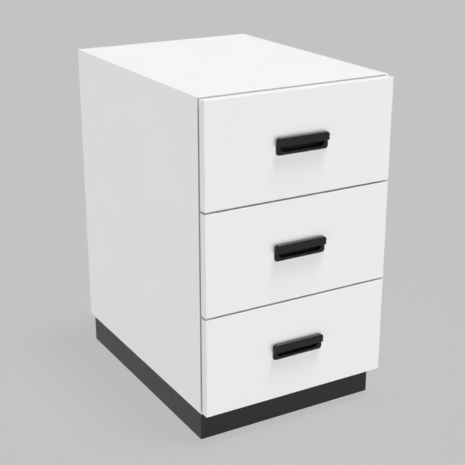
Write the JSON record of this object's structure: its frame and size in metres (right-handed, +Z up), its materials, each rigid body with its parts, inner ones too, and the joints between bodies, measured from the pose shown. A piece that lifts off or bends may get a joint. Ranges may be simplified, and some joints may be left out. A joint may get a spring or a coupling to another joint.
{
  "type": "reagent drawer cabinet",
  "caption": "Free-standing base cabinet with a stack of equal drawers behind flat fronts with recessed cup pulls, on full-extension ball slides, over a set-back plinth.",
  "frame": {"origin": "on the floor, under the centre of the bounding box", "axes": "+Z up; the drawer fronts face -Y and the drawers pull out along -Y; +X is to the right for someone who faces the drawers"},
  "size_m": [0.45, 0.6216, 0.745],
  "materials": {
    "white_board": "white melamine on chipboard, satin",
    "box_board": "white melamine on chipboard, satin",
    "plinth_board": "dark grey laminate, matt",
    "pull_plastic": "moulded black, satin",
    "foot_plastic": "moulded black",
    "bumper": "translucent soft",
    "beech": "bare beech",
    "slide_steel": "bright zinc plated",
    "screw_steel": "bright zinc plated",
    "zinc": "die-cast"
  },
  "bodies": {
    "cabinet": {"side_panel_left": "white_board", "side_panel_right": "white_board", "top_panel": "white_board", "bottom_panel": "white_board", "back_panel": "white_board", "panel_dowels": "beech", "cam_locks": "zinc", "cam_bolts": "screw_steel", "plinth_front": "plinth_board", "plinth_rear": "plinth_board", "plinth_left": "plinth_board", "plinth_right": "plinth_board", "plinth_glue_blocks": "beech", "glue_block_screws": "screw_steel", "levelling_feet": "foot_plastic", "levelling_nuts": "screw_steel", "slide_cabinet_members": "slide_steel", "side_panel_screws": "screw_steel"},
    "drawer_1": {"drawer_front_1": "white_board", "pull_1": "pull_plastic", "front_bumpers_1": "bumper", "box_front_1": "box_board", "box_side_left_1": "box_board", "box_side_right_1": "box_board", "box_back_1": "box_board", "box_bottom_1": "box_board", "box_screws_1": "screw_steel", "slide_drawer_members_1": "slide_steel", "slide_screws_1": "screw_steel"},
    "slide_middle_1": {"slide_middle_members_1": "slide_steel"},
    "outer_cages_1": {"outer_ball_cages_1": "slide_steel"},
    "inner_cages_1": {"inner_ball_cages_1": "slide_steel"},
    "drawer_2": {"drawer_front_2": "white_board", "pull_2": "pull_plastic", "front_bumpers_2": "bumper", "box_front_2": "box_board", "box_side_left_2": "box_board", "box_side_right_2": "box_board", "box_back_2": "box_board", "box_bottom_2": "box_board", "box_screws_2": "screw_steel", "slide_drawer_members_2": "slide_steel", "slide_screws_2": "screw_steel"},
    "slide_middle_2": {"slide_middle_members_2": "slide_steel"},
    "outer_cages_2": {"outer_ball_cages_2": "slide_steel"},
    "inner_cages_2": {"inner_ball_cages_2": "slide_steel"},
    "drawer_3": {"drawer_front_3": "white_board", "pull_3": "pull_plastic", "front_bumpers_3": "bumper", "box_front_3": "box_board", "box_side_left_3": "box_board", "box_side_right_3": "box_board", "box_back_3": "box_board", "box_bottom_3": "box_board", "box_screws_3": "screw_steel", "slide_drawer_members_3": "slide_steel", "slide_screws_3": "screw_steel"},
    "slide_middle_3": {"slide_middle_members_3": "slide_steel"},
    "outer_cages_3": {"outer_ball_cages_3": "slide_steel"},
    "inner_cages_3": {"inner_ball_cages_3": "slide_steel"}
  },
  "joints": [
    {"name": "drawer_1_slide", "type": "slide", "parent": "cabinet", "child": "drawer_1", "axis": [0, -1, 0], "range_m": [0, 0.5]},
    {"name": "slide_middle_1_slide", "type": "slide", "parent": "cabinet", "child": "slide_middle_1", "axis": [0, -1, 0], "range_m": [0, 0.25]},
    {"name": "outer_cages_1_slide", "type": "slide", "parent": "cabinet", "child": "outer_cages_1", "axis": [0, -1, 0], "range_m": [0, 0.125]},
    {"name": "inner_cages_1_slide", "type": "slide", "parent": "cabinet", "child": "inner_cages_1", "axis": [0, -1, 0], "range_m": [0, 0.375]},
    {"name": "drawer_2_slide", "type": "slide", "parent": "cabinet", "child": "drawer_2", "axis": [0, -1, 0], "range_m": [0, 0.5]},
    {"name": "slide_middle_2_slide", "type": "slide", "parent": "cabinet", "child": "slide_middle_2", "axis": [0, -1, 0], "range_m": [0, 0.25]},
    {"name": "outer_cages_2_slide", "type": "slide", "parent": "cabinet", "child": "outer_cages_2", "axis": [0, -1, 0], "range_m": [0, 0.125]},
    {"name": "inner_cages_2_slide", "type": "slide", "parent": "cabinet", "child": "inner_cages_2", "axis": [0, -1, 0], "range_m": [0, 0.375]},
    {"name": "drawer_3_slide", "type": "slide", "parent": "cabinet", "child": "drawer_3", "axis": [0, -1, 0], "range_m": [0, 0.5]},
    {"name": "slide_middle_3_slide", "type": "slide", "parent": "cabinet", "child": "slide_middle_3", "axis": [0, -1, 0], "range_m": [0, 0.25]},
    {"name": "outer_cages_3_slide", "type": "slide", "parent": "cabinet", "child": "outer_cages_3", "axis": [0, -1, 0], "range_m": [0, 0.125]},
    {"name": "inner_cages_3_slide", "type": "slide", "parent": "cabinet", "child": "inner_cages_3", "axis": [0, -1, 0], "range_m": [0, 0.375]}
  ],
  "couplings": [
    {"joint": "slide_middle_1_slide", "follows": "drawer_1_slide", "ratio": 0.5},
    {"joint": "outer_cages_1_slide", "follows": "drawer_1_slide", "ratio": 0.25},
    {"joint": "inner_cages_1_slide", "follows": "drawer_1_slide", "ratio": 0.75},
    {"joint": "slide_middle_2_slide", "follows": "drawer_2_slide", "ratio": 0.5},
    {"joint": "outer_cages_2_slide", "follows": "drawer_2_slide", "ratio": 0.25},
    {"joint": "inner_cages_2_slide", "follows": "drawer_2_slide", "ratio": 0.75},
    {"joint": "slide_middle_3_slide", "follows": "drawer_3_slide", "ratio": 0.5},
    {"joint": "outer_cages_3_slide", "follows": "drawer_3_slide", "ratio": 0.25},
    {"joint": "inner_cages_3_slide", "follows": "drawer_3_slide", "ratio": 0.75}
  ]
}
